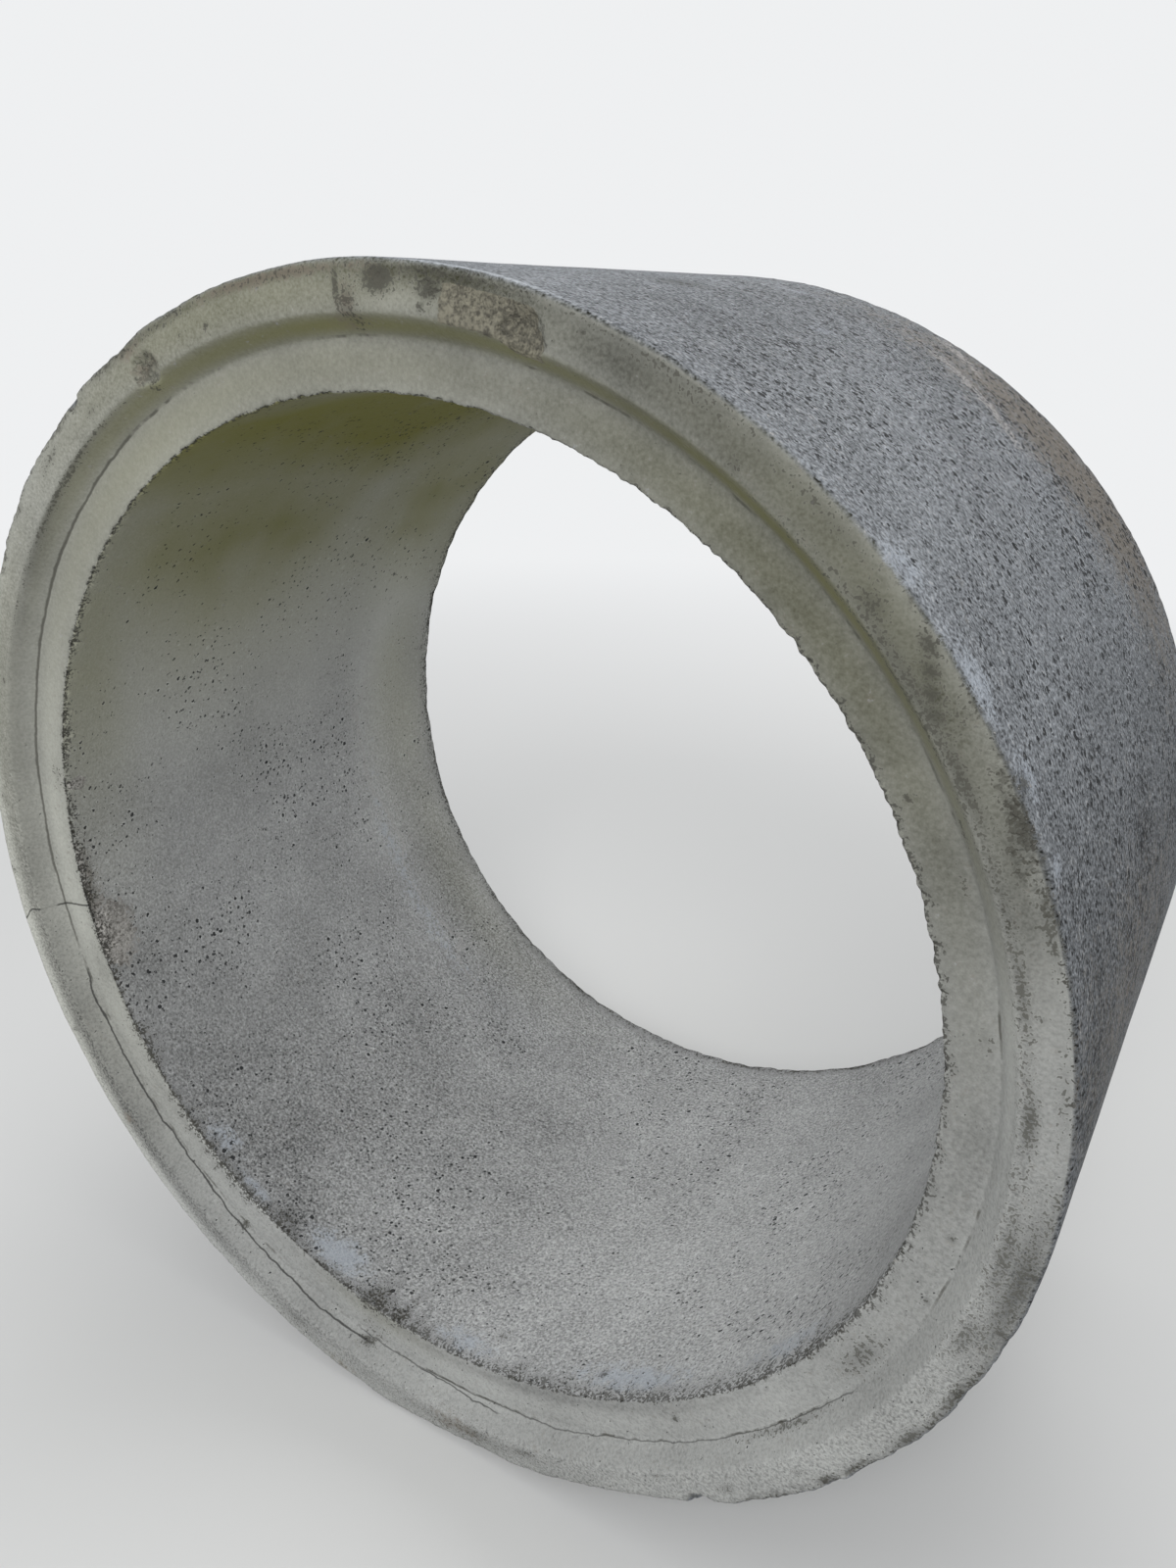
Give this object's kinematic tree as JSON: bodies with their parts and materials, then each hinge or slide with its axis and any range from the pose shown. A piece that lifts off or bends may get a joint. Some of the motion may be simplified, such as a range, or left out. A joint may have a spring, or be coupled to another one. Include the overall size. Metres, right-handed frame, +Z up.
{
  "type": "concrete sewer pipe",
  "caption": "Large concrete drain pipe lying on its side, with a rebated socket in one end, a tongue on the other and a straight round bore.",
  "frame": {"origin": "on the ground below the middle of the lying pipe", "axes": "+Y along the pipe's axis from its socket end to its tongue end, +Z up, +X to the right of someone who looks into the socket"},
  "size_m": [1.8, 1.01, 1.8],
  "materials": {
    "concrete": "weathered cast concrete"
  },
  "bodies": {
    "root": {"pipe": "concrete"}
  },
  "joints": []
}
